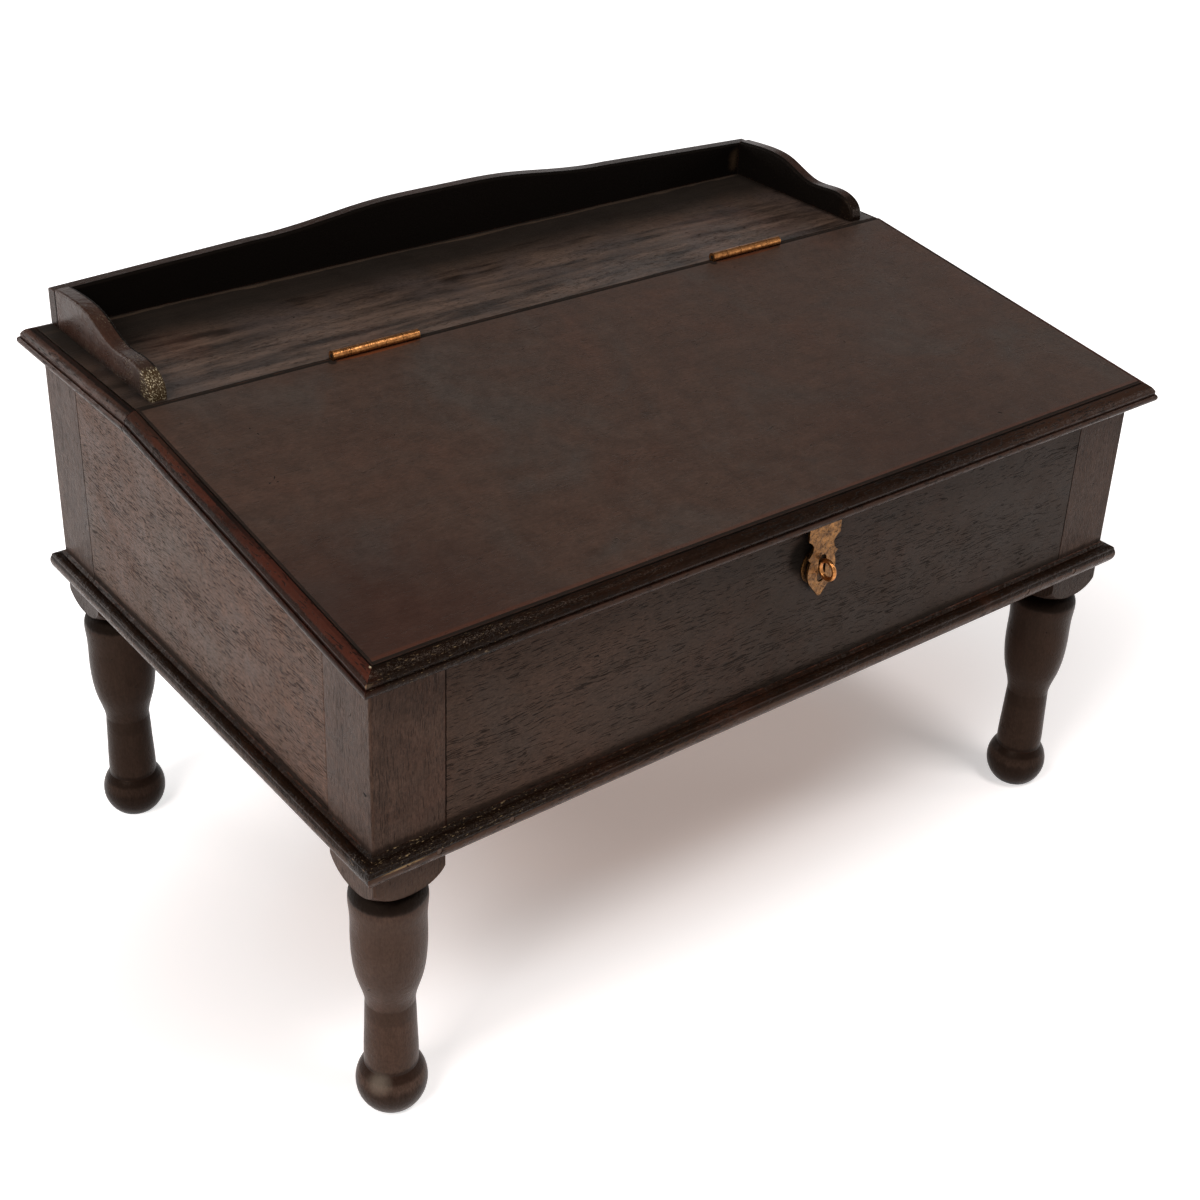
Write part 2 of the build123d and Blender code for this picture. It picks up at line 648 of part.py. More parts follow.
with BuildPart() as hasp_leaf:
    with Locations(hasp_leaf_middle.offset(hasp_leaf_thickness / 2)):
        Box(hasp_width, hasp_leaf_length, hasp_leaf_thickness)
    with Locations(web_middles):
        Box(outer_knuckle, hasp_web_thickness, hasp_leaf_thickness + hasp_axis_drop)
    with Locations(outer_frames):
        Cylinder(hasp_knuckle_radius, outer_knuckle)
    with Locations(hasp_frame()):
        Cylinder(hasp_pin_radius + hasp_pin_clearance, 2 * hasp_width, mode=Mode.SUBTRACT)
    with Locations(hasp_screw_places):
        add(hasp_screw_bore, mode=Mode.SUBTRACT)
save(hasp_leaf, "hasp_leaf")

with BuildPart() as hasp_pin:
    with Locations(hasp_frame()):
        Cylinder(hasp_pin_radius, hasp_width)
save(hasp_pin, "hasp_pin")

with BuildPart() as hasp_screws:
    with Locations(hasp_screw_places):
        add(hasp_screw_body)
save(hasp_screws, "hasp_screws")

strap_top = hasp_knuckle_radius + hasp_knuckle_gap
strap_plane = Plane(origin=(hasp_centre, hasp_axis.Y + hasp_thickness / 2, hasp_axis.Z), x_dir=(1, 0, 0),
                    z_dir=(0, -1, 0))


def strap_half(side):
    """One side of the strap's outline, from the top corner to the tip; side is 1 right, -1 left."""
    horn = hasp_width / 2
    neck = (side * hasp_neck_half_width, -hasp_neck_drop)
    Line((side * horn, -strap_top), (side * horn, -hasp_horn_drop))
    ThreePointArc((side * horn, -hasp_horn_drop),
                  (side * (hasp_neck_half_width + 0.9), -(hasp_horn_drop + hasp_neck_drop) / 2 - 0.6), neck)
    ThreePointArc(neck, (side * (hasp_neck_half_width + 1.0), -(hasp_neck_drop + hasp_cusp_drop) / 2 - 0.4),
                  (side * hasp_cusp_half_width, -hasp_cusp_drop))
    Line((side * hasp_cusp_half_width, -hasp_cusp_drop), (side * hasp_notch_half_width, -hasp_notch_drop))
    ThreePointArc((side * hasp_notch_half_width, -hasp_notch_drop), (side * hasp_lobe_half_width, -hasp_lobe_drop),
                  (side * hasp_point_half_width, -hasp_point_drop))
    Line((side * hasp_point_half_width, -hasp_point_drop), (side * 1.2, -hasp_length + 0.4))


with BuildPart() as strap:
    with BuildSketch(strap_plane):
        with BuildLine() as strap_outline:
            Line((-hasp_width / 2, -strap_top), (hasp_width / 2, -strap_top))
            strap_half(1)
            strap_half(-1)
            ThreePointArc((-1.2, -hasp_length + 0.4), (0, -hasp_length), (1.2, -hasp_length + 0.4))
        make_face()
        with Locations((0, -(hasp_slot_top + hasp_slot_bottom) / 2)):
            SlotOverall(hasp_slot_bottom - hasp_slot_top, hasp_slot_width, rotation=90, mode=Mode.SUBTRACT)
    extrude(amount=hasp_thickness)
    with Locations((hasp_centre, hasp_axis.Y, hasp_axis.Z)):
        Box(hasp_knuckle_length, hasp_thickness, strap_top + 1.0, align=(Align.CENTER, Align.CENTER, Align.MAX))
    with Locations(hasp_frame()):
        Cylinder(hasp_knuckle_radius, hasp_knuckle_length)
        Cylinder(hasp_pin_radius + hasp_pin_clearance, 2 * hasp_width, mode=Mode.SUBTRACT)
save(strap, "hasp_strap")

# ---------------------------------------------------------------- staple
with BuildPart() as staple_plate:
    with BuildSketch(Plane(origin=staple_place.origin, x_dir=(1, 0, 0), z_dir=(0, 0, 1))):
        inner = staple_shank_radius + staple_shank_clearance
        with BuildLine():
            Polyline((inner, 0), (staple_plate_radius, 0), (staple_plate_radius, -staple_plate_rim))
            ThreePointArc((staple_plate_radius, -staple_plate_rim),
                          (0.6 * staple_plate_radius, -staple_plate_rim - 0.62 * staple_plate_dome),
                          (inner, -staple_plate_rim - staple_plate_dome))
            Line((inner, -staple_plate_rim - staple_plate_dome), (inner, 0))
        make_face()
    revolve(axis=Axis(staple_place.origin, (0, 1, 0)))
save(staple_plate, "staple_plate")

eye_centre = (hasp_centre, front_y - eye_reach, eye_z)
with BuildPart() as staple_eye:
    with Locations(Plane(origin=eye_centre, x_dir=(0, 1, 0), z_dir=(1, 0, 0))):
        Torus(eye_radius, eye_wire_radius)
        Cylinder(eye_hole_radius, 2 * eye_radius, mode=Mode.SUBTRACT)
    with Locations(staple_place.offset(-staple_shank_length)):
        Cylinder(staple_shank_radius, staple_shank_length + eye_reach - eye_radius,
                 align=(Align.CENTER, Align.CENTER, Align.MIN))
save(staple_eye, "staple_eye")
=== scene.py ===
# %% [markdown]
# # A stained writing box on turned legs
# The solids of the box come ready made, one object for each board, moulding, leg
# and brass fitting. This lesson dresses them: stained wood with open pores, worn
# edges and thick varnish in the mouldings, and aged brass. It ends with a plain
# floor, soft light and a camera.

import math

import bpy
from mathutils import Matrix, Vector


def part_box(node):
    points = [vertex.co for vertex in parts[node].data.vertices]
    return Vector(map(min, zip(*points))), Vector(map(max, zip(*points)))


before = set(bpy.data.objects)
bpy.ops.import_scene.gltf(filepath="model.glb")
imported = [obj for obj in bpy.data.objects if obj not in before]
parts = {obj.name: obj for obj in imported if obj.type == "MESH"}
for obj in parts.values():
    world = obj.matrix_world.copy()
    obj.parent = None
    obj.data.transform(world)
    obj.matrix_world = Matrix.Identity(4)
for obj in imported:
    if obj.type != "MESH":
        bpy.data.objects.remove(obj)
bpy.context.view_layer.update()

# %% [markdown]
# ## Sizes that the finish follows
# A pattern looks right only when it has a real size, and a mark only when it lies
# at the right spot. Both are written in millimetres here, and places count from
# the middle of the case at floor level. Three places are read off the solids. The
# lid slopes, and its grain has to slope with it, so the angle is kept too.

# %% Lengths used by the finishes
mm = 0.001
hinge_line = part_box("lid_board")[1].y / mm  # the lid ends here, and the shelf begins
case_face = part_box("front_board")[0].y / mm
moulding_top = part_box("base_moulding_front")[1].z / mm
lid_rise, lid_run = 35.5, 250.0
lid_slope = math.atan2(lid_rise, lid_run)
print("hinge line, case face, moulding top:", [
    round(place, 1) for place in (hinge_line, case_face, moulding_top)], "mm")

# %% [markdown]
# ## Helpers for colour and nodes
# A paint chart gives colours as screen values, but a shader mixes light, which
# adds up in linear values. One function turns a hex code into linear colour. One
# more adds a node to a material, sets it and joins it up, so that a finish reads
# like a recipe. The type of each shader node starts with ShaderNode, so the
# helper puts that in front. A node that is given as an input stands for its first
# output that is in use.

# %% Colour and node helpers
def colour(code):
    channels = [int(code[i:i + 2], 16) / 255 for i in (1, 3, 5)]
    linear = [c / 12.92 if c <= 0.04045 else ((c + 0.055) / 1.055) ** 2.4 for c in channels]
    return (*linear, 1.0)


def add(tree, kind, inputs=None, **settings):
    node = tree.nodes.new("ShaderNode" + kind)
    for name, value in settings.items():
        setattr(node, name, value)
    for name, value in (inputs or {}).items():
        if isinstance(value, bpy.types.Node):
            value = next(output for output in value.outputs if output.enabled)
        if isinstance(value, bpy.types.NodeSocket):
            tree.links.new(value, node.inputs[name])
        else:
            node.inputs[name].default_value = value
    return node


def new_finish(name):
    material = bpy.data.materials.new(name)
    material.use_nodes = True
    material.node_tree.nodes.clear()
    return material, material.node_tree


print("brown umber in linear light:", [round(c, 4) for c in colour("#3d2a1f")])

# %% [markdown]
# ## Stained open-pored hardwood
# The box is made of a teak-like hardwood. Its grain is open: each pore is a fine
# slot some millimetres long, and a dark stain settles in it. Over the stain lies
# a thin varnish that hands have rubbed to a satin. On edges the rubbing went
# through to red-brown wood, and in corners old polish and dirt stayed black; that
# black in the corners is painted shade as well.
# A picture of wood would need unwrapping and would repeat. Noise in object
# coordinates has a real size at once, so the finish is drawn with noise, in
# steps, with one function for each step.
#
# Everything that lies along the grain is one kind of noise: stretched, with a
# length and a width. The grain is first turned onto X.

# %% Noise stretched along the grain
def grain_noise(tree, fibres, length, width, detail, roughness=0.5, distortion=0.0):
    lengthways, across = 1 / (length * mm), 1 / (width * mm)
    stretched = add(tree, "Mapping", {"Vector": fibres, "Scale": (lengthways, across, across)})
    return add(tree, "TexNoise", {
        "Vector": stretched, "Scale": 1.0, "Detail": detail, "Roughness": roughness,
        "Distortion": distortion})


quarter = math.radians(90)
along_x = (0, 0, 0)
along_y = (0, 0, quarter)
upright = (0, quarter, 0)
lid_grain = (-lid_slope, 0, 0)
print("the lid's grain is tipped by", round(math.degrees(lid_slope), 1), "degrees")

# %% [markdown]
# Pores are that noise cut to its peaks, so that short dark slots remain. They are
# crowded in some growth rings and thin in others, which a wider noise decides.
# Cracks are the same slots, only longer, wider and rarer.

# %% Pores and cracks
pore_steepness = 22.0  # high, so that a slot has a crisp border
crack_length, crack_width = 3.2, 1.5  # times a pore's
ring_length, ring_width = 100, 16  # mm, a stretch of one growth ring


def open_pores(tree, fibres, length, width, open_grain, pores, cracks):
    crowd = grain_noise(tree, fibres, ring_length, ring_width, 3.0)
    slots = []
    # Each start is the level of the noise from which a slot is cut
    for slot_length, slot_width, thin_start, crowded_start, depth in (
            (length, width, 0.66 - open_grain, 0.56 - open_grain, pores),
            (crack_length * length, crack_width * width, 0.80, 0.71, cracks)):
        noise = grain_noise(tree, fibres, slot_length, slot_width, 1.5, distortion=0.1)
        start = add(tree, "MapRange", {
            "Value": crowd, "From Min": 0.35, "From Max": 0.65,
            "To Min": thin_start, "To Max": crowded_start})
        over = add(tree, "Math", {0: noise, 1: start}, operation="SUBTRACT")
        slot = add(tree, "Math", {0: over, 1: pore_steepness}, operation="MULTIPLY", use_clamp=True)
        slots.append(add(tree, "Math", {0: slot, 1: depth}, operation="MULTIPLY"))
    return add(tree, "Math", {0: slots[0], 1: slots[1]}, operation="MAXIMUM")


print("cracks are", crack_length, "times as long as pores")

# %% [markdown]
# A stain takes unevenly. It lies in faint streaks along the grain, with wide cool
# and warm patches over them. A fine nap of cut fibres and a coarser mottle then
# both lighten and darken it. The streaks and the nap are handed back, because the
# marks and the relief use them again.

# %% Stain
streak_length = 90  # mm, as are all of these
patch_size, mottle_size = 85, 14
nap_length, nap_width = 3.0, 1.2  # coarser than real fibres, so that it shows


def stain(tree, place, fibres, deep, middle, cool, worn, streaks, streak_width, warmth, nap,
          mottle):
    streak_noise = grain_noise(tree, fibres, streak_length, streak_width, 4.0, roughness=0.65)
    streak = add(tree, "MapRange", {
        "Value": streak_noise, "From Min": 0.32, "From Max": 0.68,
        "To Min": 0.5 - streaks / 2, "To Max": 0.5 + streaks / 2})
    skin = add(tree, "Mix", {"Factor": streak, "A": colour(deep), "B": colour(middle)},
               data_type="RGBA")
    cloud = add(tree, "TexNoise", {
        "Vector": place, "Scale": 1 / (patch_size * mm), "Detail": 5.0, "Roughness": 0.6,
        "Distortion": 0.5})
    for shade, start, full, share in ((cool, 0.50, 0.66, 0.7), (worn, 0.46, 0.32, warmth)):
        patch = add(tree, "MapRange", {
            "Value": cloud, "From Min": start, "From Max": full, "To Max": share})
        skin = add(tree, "Mix", {"Factor": patch, "A": skin, "B": colour(shade)},
                   data_type="RGBA")

    fuzz = grain_noise(tree, fibres, nap_length, nap_width, 3.0, roughness=0.7)
    blots = add(tree, "TexNoise", {
        "Vector": place, "Scale": 1 / (mottle_size * mm), "Detail": 6.0, "Roughness": 0.72,
        "Distortion": 0.3})
    for pattern, swing in ((fuzz, nap), (blots, mottle)):
        lightness = add(tree, "MapRange", {
            "Value": pattern, "From Min": 0.32, "From Max": 0.68,
            "To Min": 1 - swing, "To Max": 1 + swing})
        skin = add(tree, "Mix", {"Factor": 1.0, "A": skin, "B": lightness},
                   data_type="RGBA", blend_type="MULTIPLY")
    return skin, streak_noise, fuzz


print("patches of", patch_size, "mm, mottle of", mottle_size, "mm, nap of", nap_length, "mm")

# %% [markdown]
# ## Marks of one place
# A mark, a glossy place or a sanded stretch is a band: from one distance to
# another, along one axis or round one point. Three more numbers behind a point
# stretch its round spot into an oval. Noise shakes the border, so that no mark
# looks ruled. Soot is the black of old polish and dirt, and the same black also
# stands for painted shade and painted shadow; all of it is dull as well.

# %% A band as a mask, and the marks made of bands
# Black for soot and dirt, also used for painted shade and painted shadow
soot_and_painted_shade = "#060403"


def band(tree, place, where, begin, finish, fade, wander, ragged):
    if isinstance(where, str):
        along = add(tree, "SeparateXYZ", {"Vector": place}).outputs[where]
    else:
        centre, stretch = tuple(c * mm for c in where[:3]), where[3:] or (1, 1, 1)
        apart = add(tree, "VectorMath", {0: place, 1: centre}, operation="SUBTRACT")
        apart = add(tree, "VectorMath", {0: apart, 1: stretch}, operation="DIVIDE")
        along = add(tree, "VectorMath", {0: apart}, operation="LENGTH")
    half = (finish - begin) / 2
    centre_line = (begin + finish) / 2 + ragged
    shaken = add(tree, "Math", {0: wander, 1: 2 * ragged * mm, 2: along},
                 operation="MULTIPLY_ADD")
    off = add(tree, "Math", {0: shaken, 1: centre_line * mm}, operation="SUBTRACT")
    off = add(tree, "Math", {0: off}, operation="ABSOLUTE")
    return add(tree, "MapRange", {
        "Value": off, "From Min": (half + fade) * mm, "From Max": half * mm},
        interpolation_type="SMOOTHSTEP")


def place_marks(tree, place, skin, wander, marks):
    dull = 0.0
    for where, begin, finish, fade, share, ragged, shade in marks:
        mask = band(tree, place, where, begin, finish, fade, wander, ragged)
        mask = add(tree, "Math", {0: mask, 1: share}, operation="MULTIPLY")
        skin = add(tree, "Mix", {"Factor": mask, "A": skin, "B": colour(shade)},
                   data_type="RGBA")
        if shade == soot_and_painted_shade:
            dull = add(tree, "Math", {0: mask, 1: dull}, operation="MAXIMUM")
    return skin, dull


print("soot in linear light:", [round(c, 4) for c in colour(soot_and_painted_shade)])

# %% [markdown]
# ## Wear, dirt and painted shade
# Rubbing shows where the surface turns. A slightly rounded normal is compared
# with the true one, and they differ only at edges. Another noise breaks the
# rubbing up. Dirt and painted shade ask how much open space is near, which is
# little only in corners. Pores and a few nicks go nearly black with it.

# %% Rubbed edges and black corners
edge_radius = 1.2  # mm, how far rubbing reaches from an edge
dirt_and_shade_reach, dirt_and_shade = 7, 0.92  # mm, and the share of black, dirt and painted shade, in the deepest corner
nibble_size, nick_size = 9, 6  # mm
black = "#080504"


def turning(tree, radius):
    true = add(tree, "NewGeometry").outputs["Normal"]
    soft = add(tree, "Bevel", {"Radius": radius * mm}, samples=4)
    return add(tree, "VectorMath", {0: true, 1: soft}, operation="DOT_PRODUCT")


def wear(tree, place, grain, skin, cut, worn, edge):
    meet = turning(tree, edge_radius)
    nibble = add(tree, "TexNoise", {
        "Vector": place, "Scale": 1 / (nibble_size * mm), "Detail": 4.0, "Roughness": 0.7})
    sharp = add(tree, "MapRange", {"Value": meet, "From Min": 0.985, "From Max": 0.86})
    patchy = add(tree, "MapRange", {
        "Value": nibble, "From Min": 0.38, "From Max": 0.62, "To Max": edge})
    rubbed = add(tree, "Math", {0: sharp, 1: patchy}, operation="MULTIPLY", use_clamp=True)
    skin = add(tree, "Mix", {"Factor": rubbed, "A": skin, "B": colour(worn)}, data_type="RGBA")

    nick_noise = add(tree, "TexNoise", {
        "Vector": grain, "Scale": 1 / (nick_size * mm), "Detail": 2.0, "Distortion": 1.2})
    nick = add(tree, "MapRange", {"Value": nick_noise, "From Min": 0.755, "From Max": 0.79})
    cut = add(tree, "Math", {0: cut, 1: nick}, operation="MAXIMUM")
    # Corners go black with dirt and with painted shade, where little open space is near
    space = add(tree, "AmbientOcclusion", {"Distance": dirt_and_shade_reach * mm}, samples=6).outputs["AO"]
    corner = add(tree, "MapRange", {
        "Value": space, "From Min": 0.86, "From Max": 0.46, "To Max": dirt_and_shade})
    grime = add(tree, "Math", {0: cut, 1: corner}, operation="MAXIMUM")
    skin = add(tree, "Mix", {"Factor": grime, "A": skin, "B": colour(black)}, data_type="RGBA")
    return skin, cut


print("rubbed for", edge_radius, "mm from an edge, dirty for", dirt_and_shade_reach, "mm round a corner")

# %% [markdown]
# ## Varnish in lumps
# A brush leaves too much varnish in a moulding, and it sets in small lumps. They
# are thin nearly everywhere and thick in the glints, which are bands again. A
# glint may keep to a bead of the moulding. Pale flecks on the lumps are scuffed
# dry varnish and painted glints together. They lie lengthways, so they are short
# streaks along the grain.

# %% Lumps and flecks
drip_size = 2.2  # mm, one lump of varnish
thin_varnish = 0.12  # of full height, away from the lumps
glint_lift = 1.5  # lumps in a glint stand this much higher
pooled_share = 0.8  # how far pooled varnish hides the stain
stray_flecks = 0.2  # the share of flecks on lumps outside a glint
fleck_length, fleck_width = 3.2, 0.8  # mm
fleck_rise = 0.08  # a fleck is full this far above its start


def lumpy_varnish(tree, place, smear, wander, glints, bead):
    drips = add(tree, "TexNoise", {
        "Vector": place, "Scale": 1 / (drip_size * mm), "Detail": 3.0, "Roughness": 0.6,
        "Distortion": 0.6})
    thick = add(tree, "MapRange", {
        "Value": smear, "From Min": 0.45, "From Max": 0.65, "To Min": thin_varnish})
    wet = 0.0
    for where, begin, finish, fade in glints:
        near = band(tree, place, where, begin, finish, fade, wander, 1.0)
        if bead:
            on_bead = band(tree, place, *bead, wander, 0.5)
            near = add(tree, "Math", {0: near, 1: on_bead}, operation="MULTIPLY")
        wet = add(tree, "Math", {0: near, 1: wet}, operation="MAXIMUM")
        near = add(tree, "Math", {0: near, 1: glint_lift}, operation="MULTIPLY")
        thick = add(tree, "Math", {0: thick, 1: near}, operation="MAXIMUM")
    height = add(tree, "Math", {0: drips, 1: thick}, operation="MULTIPLY")
    return height, thick, wet


def pool_and_fleck(tree, grain, skin, thick, wet, pool_shade, fleck_and_glint_shade, fleck_start, flecks_and_glints):
    pooled = add(tree, "Math", {0: wet, 1: pooled_share}, operation="MULTIPLY")
    skin = add(tree, "Mix", {"Factor": pooled, "A": skin, "B": colour(pool_shade)},
               data_type="RGBA")
    crumbs = grain_noise(tree, grain, fleck_length, fleck_width, 3.0, roughness=0.6, distortion=0.5)
    peak = add(tree, "MapRange", {
        "Value": crumbs, "From Min": fleck_start, "From Max": fleck_start + fleck_rise,
        "To Max": flecks_and_glints})
    # Where the flecks show: scuffed varnish, and painted glints on the lumps
    scuffs_and_glints = add(tree, "Math", {0: thick, 1: stray_flecks, 2: wet}, operation="MULTIPLY_ADD")
    peak = add(tree, "Math", {0: peak, 1: scuffs_and_glints}, operation="MULTIPLY", use_clamp=True)
    return add(tree, "Mix", {"Factor": peak, "A": skin, "B": colour(fleck_and_glint_shade)},
               data_type="RGBA")


print("a fleck is about", fleck_length, "mm by", fleck_width, "mm")

# %% [markdown]
# ## The whole recipe
# All the steps come together here, and only what is named in the brackets differs
# from piece to piece. After the colour comes the sheen: pores, soot and painted
# shade stay dull, thick varnish is smoother, and the rest varies with handling.
# Then the relief: pores are cut in, fibres stand up, the surface ripples and lumps
# stand proud.

# %% Stained wood
wave_length, wave_swing = 70, 9  # mm, slow waves that bend the grain as in a real plank
smear_size = 28  # mm, a spot that hands have polished or greased
dull_pores, dull_soot_and_shade, smooth_lumps = 0.3, 0.4, -0.13  # added to the roughness
pore_depth, nap_height = -0.2, 0.5  # mm; the nap's is for a full nap
filled_share = 0.8  # how far sanding dust fills a pore
varnish_ior, varnish_tint = 1.5, "#ffe2cc"  # the tint of old varnish


def stained_wood(
        name, turn, deep="#2b1c15", middle="#423029", cool="#372d29", worn="#5a3324",
        streaks=0.5, streak_width=4.0, mottle=0.16, warmth=0.15, nap=0.25,
        pores=0.8, open_grain=0.0, pore_length=6.0, pore_width=0.9, cracks=0.5, calm=None,
        gloss=0.4, shine=0.2, ripple=0.25, edge=0.4, marks=(),
        lumps=0.0, glints=(), bead=None, pool_shade="#120a06",
        flecks_and_glints=0.0, fleck_and_glint_shade="#8f7355", fleck_start=0.62):
    """turn brings the grain onto X, and lengths are in mm.
    marks: (axis or point, from, to, fade, share, ragged, colour).
    glints: (axis or point, from, to, fade), and so are calm and bead: calm is a sanded
    stretch with filled pores, and bead is the band that the glints keep to."""
    material, tree = new_finish(name)
    place = add(tree, "TexCoord").outputs["Object"]
    grain = add(tree, "Mapping", {"Vector": place, "Rotation": turn})

    swing = wave_swing * mm
    sway = add(tree, "TexNoise", {"Vector": grain, "Scale": 1 / (wave_length * mm), "Detail": 2.0})
    bent = add(tree, "VectorMath", {0: sway.outputs["Color"], 1: (0.0, swing, swing)},
               operation="MULTIPLY")
    fibres = add(tree, "VectorMath", {0: grain, 1: bent}, operation="ADD")

    cut = open_pores(tree, fibres, pore_length, pore_width, open_grain, pores, cracks)
    if calm:
        filled = band(tree, place, *calm, sway, 0.0)
        left_open = add(tree, "Math", {0: filled, 1: -filled_share, 2: 1.0},
                        operation="MULTIPLY_ADD")
        cut = add(tree, "Math", {0: cut, 1: left_open}, operation="MULTIPLY")
    skin, streak_noise, fuzz = stain(
        tree, place, fibres, deep, middle, cool, worn, streaks, streak_width, warmth, nap, mottle)
    skin, dull = place_marks(tree, place, skin, streak_noise, marks)
    skin, cut = wear(tree, place, grain, skin, cut, worn, edge)

    smear = add(tree, "TexNoise", {
        "Vector": place, "Scale": 1 / (smear_size * mm), "Detail": 5.0, "Roughness": 0.65})
    sheen = add(tree, "MapRange", {
        "Value": smear, "From Min": 0.3, "From Max": 0.7,
        "To Min": gloss - 0.08, "To Max": gloss + 0.10})
    rough = add(tree, "Math", {0: cut, 1: dull_pores, 2: sheen}, operation="MULTIPLY_ADD")
    rough = add(tree, "Math", {0: dull, 1: dull_soot_and_shade, 2: rough}, operation="MULTIPLY_ADD")

    relief = add(tree, "Bump", {"Height": cut, "Strength": 1.0, "Distance": pore_depth * mm})
    for height, depth in ((fuzz, nap_height * nap), (smear, ripple)):
        relief = add(tree, "Bump", {
            "Height": height, "Strength": 1.0, "Distance": depth * mm, "Normal": relief})
    if lumps:
        height, thick, wet = lumpy_varnish(tree, place, smear, streak_noise, glints, bead)
        relief = add(tree, "Bump", {
            "Height": height, "Strength": 1.0, "Distance": lumps * mm, "Normal": relief})
        rough = add(tree, "Math", {0: thick, 1: smooth_lumps, 2: rough}, operation="MULTIPLY_ADD")
        skin = pool_and_fleck(
            tree, grain, skin, thick, wet, pool_shade, fleck_and_glint_shade, fleck_start, flecks_and_glints)

    # The shine stays low, because a mirrored white floor veils dark wood with grey
    shader = add(tree, "BsdfPrincipled", {
        "Base Color": skin, "Roughness": rough, "IOR": varnish_ior, "Normal": relief,
        "Specular IOR Level": shine, "Specular Tint": colour(varnish_tint)})
    add(tree, "OutputMaterial", {"Surface": shader})
    return material


print("roughness added by pores, soot, lumps:", dull_pores, dull_soot_and_shade, smooth_lumps)

# %% [markdown]
# ## Dressing a piece
# Each piece came with a plain stand-in material. One function swaps it for the
# finish and keeps a list, so that a forgotten piece would show at the end. Another
# writes a mark once for the left and the right side.

# %% Put a finish on its pieces
far = 900.0  # a band that runs past the end of every piece
dressed = []


def dress(names, finish):
    for name in names:
        parts[name].data.materials.clear()
        parts[name].data.materials.append(finish)
    dressed.extend(names)
    print(finish.name, "on", len(names))


def both_sides(begin, finish, *rest):
    return [("X", -finish, -begin, *rest), ("X", begin, finish, *rest)]


print("a mark on both sides:", both_sides(10, 20, 1, 0.5, 1, soot_and_painted_shade))

# %% [markdown]
# ## The lid and the shelf
# The boards share one recipe but not one look, so each gets its own stain, pores
# and marks instead of one wood for all. The lid has been leaned on, so its streaks
# have blurred into clouds. The shelf is streaky, and turns black towards the
# gallery with dirt and painted shade. Dirt has filled the joint between the two.

# %% Finish the lid and the shelf
dress(["lid_board"], stained_wood(
    "stained teak, lid board, rubbed satin", turn=lid_grain, deep="#36271f", middle="#45332b",
    cool="#3d3530", streaks=0.35, pores=0.3, open_grain=-0.03, cracks=0.7, nap=0.2, mottle=0.2,
    gloss=0.42, shine=0.28, ripple=0.12, marks=[
        # Two wide patches of dark red along the front
        ((-300, -200, 320), -40, 40, 120, 0.6, 10, "#2b1510"),
        ((120, -200, 320), -20, 20, 130, 0.35, 10, "#2b1a14"),
        # The rim at the front strip, rubbed red, with dirt in the groove
        ("Y", -far, -195.2, 1.8, 0.4, 1.2, "#512818"),
        ("Y", -far, -196.9, 0.4, 0.95, 0.4, soot_and_painted_shade),
        # A painted reflection of each hinge's brass, a red line in front of it, with a painted
        # shadow at its left end
        ((-140, 54, 368, 12, 1, 1), -2.1, 2.1, 1.0, 0.75, 0.6, "#70371a"),
        ((170, 54, 368, 12, 1, 1), -2.1, 2.1, 1.0, 0.75, 0.6, "#5a2c17"),
        ((-173, 54, 368), -2.2, 2.2, 1.5, 0.9, 0.5, soot_and_painted_shade),
        ((137, 54, 368), -2, 2, 1.5, 0.9, 0.5, soot_and_painted_shade),
        # Dirt at the left strip and in the joint with the shelf
        ("X", -far, -300.2, 0.5, 0.9, 0.4, soot_and_painted_shade),
        ("Y", hinge_line - 2.1, far, 0.5, 1.0, 0.5, soot_and_painted_shade)]))
dress(["shelf_board"], stained_wood(
    "stained teak, shelf board, streaky", turn=along_x, deep="#1e130d", middle="#574439",
    cool="#413632", streaks=1.45, streak_width=10.0, pores=0.5, nap=0.2, gloss=0.38, shine=0.3,
    marks=[
        # Black towards the gallery, dirt and painted shade, with a thin line of dust at its foot
        ("Y", 168, far, 45, 0.95, 30, soot_and_painted_shade),
        ("Y", 186.6, 188.8, 1.0, 0.25, 6.0, "#6a5443"),
        # Darker ends, painted shade by the gallery sides, and dirt in the joint with the lid
        *both_sides(292, far, 2, 0.6, 2, "#1a120c"),
        ("Y", -far, hinge_line + 2.3, 0.5, 1.0, 0.6, soot_and_painted_shade)]))

# %% [markdown]
# ## The boards of the case
# Front and back are the same board: level grain between two posts, dirt in the
# seams at the posts, and dirt and painted shade above the base moulding. The front
# also has a painted shadow beside the hasp and under the lid, and painted shade
# that darkens it to the right. That shade is part of the finish here, so it stays
# under any light. The side boards are lighter, partly in tone and partly with a
# painted sheen, and their pores are more open. The bottom board shows only when the
# lid is up, and is made as planed, unstained wood.

# %% Finish the boards
board_end = 253.3  # where the posts begin
flat_board = dict(
    turn=along_x, deep="#34271f", middle="#4a382f", cool="#3d322c", pores=0.72, open_grain=0.022,
    pore_length=9.0, pore_width=0.75, cracks=0.9, nap=0.3, gloss=0.44, shine=0.08)
# The seams at the posts hold dirt; the line above the base moulding is dirt and painted shade
board_seams = [
    *both_sides(board_end, far, 0.4, 0.95, 0.6, soot_and_painted_shade),
    ("Z", 190, moulding_top + 2, 4, 0.6, 2, soot_and_painted_shade)]
dress(["back_board"], stained_wood("stained teak, back board", marks=board_seams, **flat_board))
dress(["front_board"], stained_wood("stained teak, front board", **flat_board, marks=[
    ((3, case_face, 293), -9, 9, 7, 0.95, 1, soot_and_painted_shade),  # painted shadow of the hasp, beside the strap
    *board_seams,
    ("Z", 317, far, 9, 0.5, 3, soot_and_painted_shade),  # painted shadow under the lid's overhang
    ("X", 0, far, 190, 0.57, 5, "#14110e")]))  # painted shade, darker to the right
